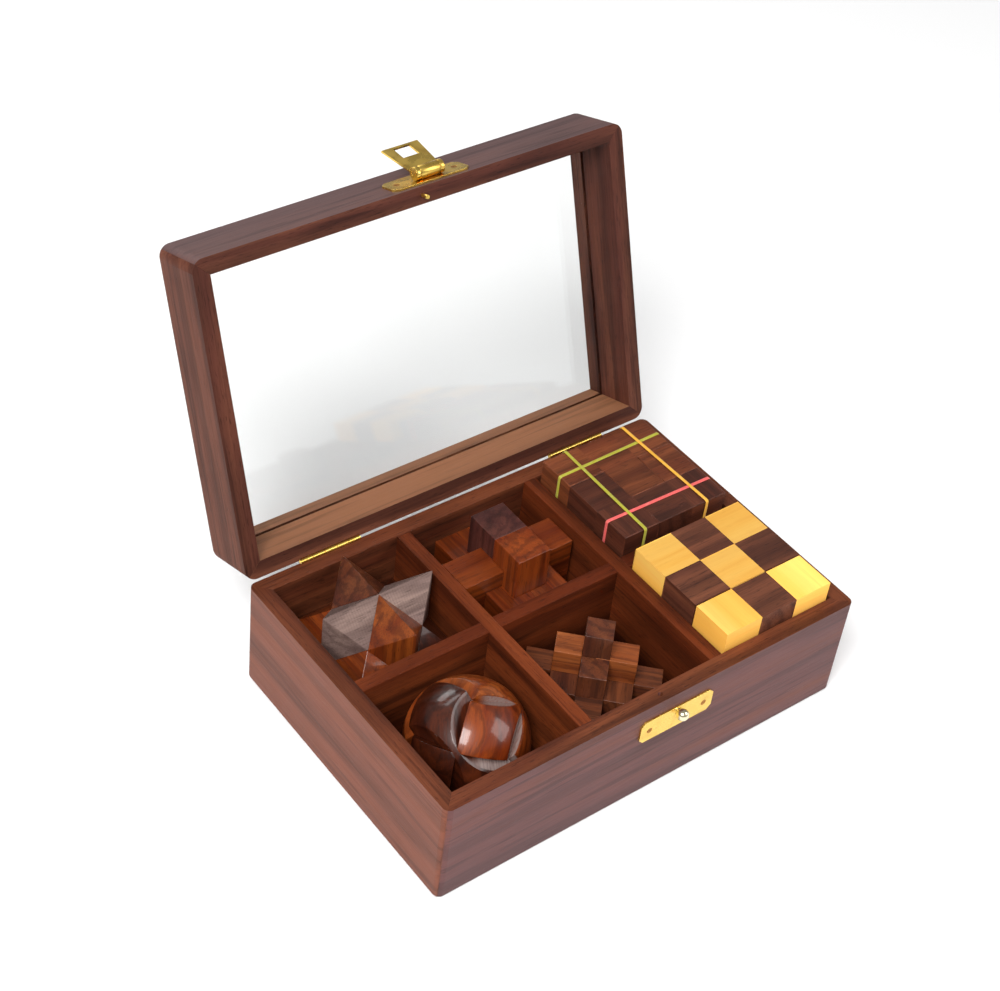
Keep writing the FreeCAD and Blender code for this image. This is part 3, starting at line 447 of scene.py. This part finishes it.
dress("lid_glass", glass())
plating = brass("polished_brass", srgb(244, 206, 104), srgb(206, 158, 66), 0.2)
screw_brass = brass("worn_brass", srgb(190, 132, 54), srgb(120, 76, 28), 0.3)
knob_brass = brass("pale_brass", srgb(244, 232, 196), srgb(222, 190, 112), 0.12)
for name, metal, edge in (
    ("hinge_box_leaves", plating, 0.0), ("hinge_lid_leaves", plating, 0.0),
    ("hinge_pins", plating, 0.0), ("catch_plate", plating, PLATE_EDGE),
    ("clasp_plate", plating, PLATE_EDGE), ("clasp_hasp", plating, PLATE_EDGE),
    ("clasp_pin", plating, SMALL_EDGE), ("locating_pin", plating, SMALL_EDGE),
    ("catch_knob", knob_brass, SMALL_EDGE), ("box_screws", screw_brass, SMALL_EDGE),
    ("lid_screws", screw_brass, SMALL_EDGE),
):
    dress(name, metal, edge)

LACQUER = (srgb(48, 13, 3), srgb(110, 38, 8), srgb(148, 68, 22))
DARK_LACQUER = (srgb(22, 6, 3), srgb(60, 21, 9), srgb(90, 38, 17))
RED_LACQUER = (srgb(62, 20, 6), srgb(124, 50, 14), srgb(158, 80, 28))
PURPLE = (srgb(30, 13, 11), srgb(70, 34, 31), srgb(92, 50, 42))
GREY_SAWN = (srgb(78, 58, 54), srgb(124, 100, 94), srgb(150, 124, 114))
DARK = (srgb(32, 11, 6), srgb(82, 36, 21), srgb(114, 60, 32))
ORANGE = (srgb(76, 30, 10), srgb(138, 68, 28), srgb(172, 98, 50))
CUBE = (srgb(46, 17, 8), srgb(108, 52, 30), srgb(138, 74, 42))
CUBE_DARK = (srgb(36, 15, 9), srgb(76, 36, 24), srgb(102, 54, 36))
CHAIN_DARK = (srgb(48, 22, 15), srgb(102, 56, 40), srgb(136, 80, 54))
PALE = (srgb(226, 146, 56), srgb(250, 186, 80), srgb(253, 202, 102))

sticks = {
    "burr_key": (Z_AXIS, LACQUER), "burr_back_post": (Z_AXIS, PURPLE),
    "burr_top_bar": (X_AXIS, LACQUER), "burr_bottom_bar": (X_AXIS, LACQUER),
    "burr_left_bar": (Y_AXIS, LACQUER), "burr_right_bar": (Y_AXIS, LACQUER),
    "star_front_post": (Z_AXIS, RED_LACQUER), "star_back_post": (Z_AXIS, DARK),
    "star_top_bar": (X_AXIS, GREY_SAWN), "star_bottom_bar": (X_AXIS, LACQUER),
    "star_left_bar": (Y_AXIS, LACQUER), "star_right_bar": (Y_AXIS, DARK_LACQUER),
}
for number, (name, (along, tones)) in enumerate(sticks.items()):
    matt = tones is GREY_SAWN
    made = wood(name + "_wood", along, tones, (0.17 * number, 0.011 * number, 0.02), rings=5,
                streak=2.0, contrast=1.0, rough=0.6 if matt else 0.36,
                coat=0.0 if matt else 0.35, sawn=0.8 if matt else 0.0)
    dress(name, made, STICK_EDGE)

GREY_CORE = srgb(142, 122, 116)
GREY_SIDE = Vector((0.75, -0.66, 0))
BALL_STICKS = {
    "ball_upper_stick_1": DARK_LACQUER, "ball_upper_stick_2": RED_LACQUER,
    "ball_upper_stick_3": LACQUER, "ball_lower_stick_1": LACQUER,
    "ball_lower_stick_2": LACQUER, "ball_lower_stick_3": DARK_LACQUER,
}
ball_boxes = [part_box(name) for name in BALL_STICKS]
ball_low = Vector([min(low[axis] for low, high in ball_boxes) for axis in range(3)])
ball_high = Vector([max(high[axis] for low, high in ball_boxes) for axis in range(3)])
ball_centre = (ball_low + ball_high) / 2
ball_radius = (ball_high.z - ball_low.z) / 2
for number, (name, tones) in enumerate(BALL_STICKS.items()):
    low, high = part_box(name)
    along = (high - low).normalized()
    made = wood(name + "_wood", along, tones, (0.13 * number, 0.004, 0.01),
                rings=7, streak=2.4, contrast=1.0, rough=0.3, coat=0.5, pore=0.4,
                core=(ball_centre, ball_radius - 0.3 * MM, GREY_SIDE, GREY_CORE))
    dress(name, made, STICK_EDGE)

across = Vector((math.cos(DIAGONAL), -math.sin(DIAGONAL), 0))
along = Vector((math.sin(DIAGONAL), math.cos(DIAGONAL), 0))
for number, (name, direction, tones) in enumerate((
    ("pagoda_key", Z_AXIS, DARK), ("pagoda_top_stick", across, ORANGE),
    ("pagoda_side_sticks", along, DARK), ("pagoda_lower_sticks", Z_AXIS, DARK),
    ("pagoda_long_sticks", across, DARK),
)):
    made = wood(name + "_wood", direction, tones, (0.21 * number, 0.03, 0.01 * number),
                rings=5, streak=2.0, rough=0.45, coat=0.1)
    dress(name, made, STICK_EDGE)

# The cubes that the banded pieces and the chain are made of each have a tone of their own.
soma_low, soma_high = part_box("soma_tee")
soma_cell = (soma_high.x - soma_low.x) / 3
soma_corner = (soma_low.x, soma_low.y - soma_cell, soma_high.z - 3 * soma_cell)
soma_tones = {
    "soma_tee": CUBE, "soma_small_corner": CUBE_DARK, "soma_ell": CUBE, "soma_zed": CUBE_DARK,
    "soma_left_twist": CUBE, "soma_right_twist": CUBE, "soma_tripod": CUBE_DARK,
}
for number, (name, tones) in enumerate(soma_tones.items()):
    made = wood(name + "_wood", X_AXIS, tones, (0.19 * number, 0.02, 0.01), rings=4,
                streak=1.6, rough=0.45, coat=0.1, spread=0.12,
                cells=(soma_cell, soma_corner))
    dress(name, made, DICE_EDGE)

chain_low, chain_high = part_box("snake_light_cubes")
chain_cell = (chain_high.z - chain_low.z) / 3
chain_corner = (chain_low.x, chain_low.y, chain_low.z)
dress("snake_light_cubes", wood("pale_cube_wood", X_AXIS, PALE, rings=3, streak=1.4,
      contrast=0.35, rough=0.42, pore=0.15, cells=(chain_cell, chain_corner)), CUBELET_EDGE, 3)
dress("snake_dark_cubes", wood("dark_cube_wood", X_AXIS, CHAIN_DARK, (0.4, 0, 0), rings=4,
      streak=1.6, rough=0.42, coat=0.1, cells=(chain_cell, chain_corner)), CUBELET_EDGE, 3)


# ---------------------------------------------------------------- rubber bands

BAND_WIDTH = 1.5 * MM
BAND_THICK = 0.32 * MM
CUBE_ROUND = 0.9 * MM
CORNER_STEPS = 6
SECTION_STEPS = 12
BAND_INSET = 11 * MM


def band_loop(half_across, half_up, skew):
    """A rounded rectangle's points, outline normals and sideways drift, round a cube."""
    points = []
    for quarter, (sx, sz) in enumerate(((1, 1), (-1, 1), (-1, -1), (1, -1))):
        for step in range(CORNER_STEPS + 1):
            angle = math.radians(90 * (quarter + step / CORNER_STEPS))
            out = Vector((math.cos(angle), 0, math.sin(angle)))
            centre = Vector((sx * (half_across - CUBE_ROUND), 0, sz * (half_up - CUBE_ROUND)))
            spot = centre + out * CUBE_ROUND
            drift = skew * spot.x / half_across
            points.append((spot, out, drift))
    return points


def make_band(name, node, centre, half_across, half_up, direction, skew, material):
    """One stretched band: a rounded flat section swept round the cube."""
    section = []
    for step in range(SECTION_STEPS):
        angle = 2 * math.pi * step / SECTION_STEPS
        wide = math.copysign(abs(math.cos(angle)) ** 0.6, math.cos(angle)) * BAND_WIDTH / 2
        thick = (1 + math.sin(angle)) * BAND_THICK / 2
        section.append((wide, thick))
    work = bmesh.new()
    rows = []
    for spot, out, drift in band_loop(half_across, half_up, skew):
        row = []
        for wide, thick in section:
            point = spot + out * thick + Vector((0, wide + drift, 0))
            row.append(work.verts.new(point))
        rows.append(row)
    for here, after in zip(rows, rows[1:] + rows[:1]):
        for step in range(SECTION_STEPS):
            beyond = (step + 1) % SECTION_STEPS
            work.faces.new((here[step], after[step], after[beyond], here[beyond]))
    bmesh.ops.recalc_face_normals(work, faces=work.faces)
    turn = Matrix.Rotation(math.radians(90), 4, "Z") if direction == "y" else Matrix()
    work.transform(Matrix.Translation(centre) @ turn)
    mesh = bpy.data.meshes.new(name)
    work.to_mesh(mesh)
    work.free()
    for face in mesh.polygons:
        face.use_smooth = True
    mesh.materials.append(material)
    band = bpy.data.objects.new(name, mesh)
    bpy.context.scene.collection.objects.link(band)
    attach(band, "banded_cube")
    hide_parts(node)
    return band


cube_low = Vector((soma_low.x, soma_high.y - 3 * soma_cell, soma_high.z - 3 * soma_cell))
cube_middle = cube_low + Vector((1, 1, 1)) * (1.5 * soma_cell)
half_cube = 1.5 * soma_cell
GREEN = rubber("green_band_rubber", srgb(176, 170, 44))
PINK = rubber("pink_band_rubber", srgb(240, 96, 92))
YELLOW = rubber("yellow_band_rubber", srgb(236, 174, 52))
inset = half_cube - BAND_INSET
upper = half_cube + BAND_THICK
make_band("green_back_rubber", "green_bands", cube_middle + Y_AXIS * inset, half_cube,
          half_cube, "x", 0.4 * MM, GREEN)
make_band("green_left_rubber", "green_bands", cube_middle - X_AXIS * inset, upper, upper, "y",
          -0.6 * MM, GREEN)
make_band("pink_front_rubber", "pink_band", cube_middle - Y_AXIS * inset, half_cube, half_cube,
          "x", -0.5 * MM, PINK)
make_band("yellow_right_rubber", "yellow_band", cube_middle + X_AXIS * inset, upper, upper, "y",
          0.5 * MM, YELLOW)


dress("snake_elastic", braid())


# ---------------------------------------------------------------- camera, floor, lights

BOX_WIDTH = 0.2
AZIMUTH = math.radians(-41.7)
ELEVATION = math.radians(41.39)
ROLL = math.radians(7.42)
DISTANCE = 3.649 * BOX_WIDTH
TARGET = Vector((-0.1832, 0, 0.622)) * BOX_WIDTH
LENS = 73.32
SHIFT = -0.0111

back = Vector((
    math.sin(AZIMUTH) * math.cos(ELEVATION),
    -math.cos(AZIMUTH) * math.cos(ELEVATION),
    math.sin(ELEVATION),
))
camera_data = bpy.data.cameras.new("camera")
camera_data.lens = LENS
camera_data.sensor_width = 36
camera_data.shift_y = SHIFT
camera_data.clip_start = 0.01
camera_data.clip_end = 20
camera = bpy.data.objects.new("camera", camera_data)
bpy.context.scene.collection.objects.link(camera)
right = (-back).cross(Z_AXIS).normalized()
up = right.cross(-back)
tilted_right = right * math.cos(ROLL) + up * math.sin(ROLL)
tilted_up = up * math.cos(ROLL) - right * math.sin(ROLL)
turn = Matrix((tilted_right, tilted_up, back)).transposed()
camera.matrix_world = Matrix.Translation(TARGET + back * DISTANCE) @ turn.to_4x4()
bpy.context.scene.camera = camera

FLOOR_HALF = 3.0
work = bmesh.new()
corners = [work.verts.new((x * FLOOR_HALF, y * FLOOR_HALF, 0))
           for x, y in ((-1, -1), (1, -1), (1, 1), (-1, 1))]
work.faces.new(corners)
floor_mesh = bpy.data.meshes.new("floor")
work.to_mesh(floor_mesh)
work.free()
floor_tree = Tree("pale_floor")
floor_tree.shader.inputs["Base Color"].default_value = (0.92, 0.92, 0.92, 1)
floor_tree.shader.inputs["Roughness"].default_value = 0.9
floor_mesh.materials.append(floor_tree.material)
floor = bpy.data.objects.new("floor", floor_mesh)
bpy.context.scene.collection.objects.link(floor)


def softbox(name, where, power, size):
    """A square area light that faces the object."""
    data = bpy.data.lights.new(name, "AREA")
    data.energy = power
    data.size = size
    lamp = bpy.data.objects.new(name, data)
    aim = (Vector((0, 0, 0.05)) - Vector(where)).to_track_quat("-Z", "Y")
    lamp.matrix_world = Matrix.Translation(where) @ aim.to_matrix().to_4x4()
    bpy.context.scene.collection.objects.link(lamp)


softbox("key_light", (-0.8, -0.5, 1.2), 25, 0.7)
softbox("fill_light", (0.9, -0.9, 0.9), 9, 0.8)
softbox("back_light", (0.0, 1.7, 1.3), 16, 1.0)

world = bpy.data.worlds.new("studio")
bpy.context.scene.world = world
world.use_nodes = True
world.node_tree.nodes["Background"].inputs["Color"].default_value = (1, 1, 1, 1)
world.node_tree.nodes["Background"].inputs["Strength"].default_value = 0.28
bpy.context.scene.view_settings.view_transform = "Standard"
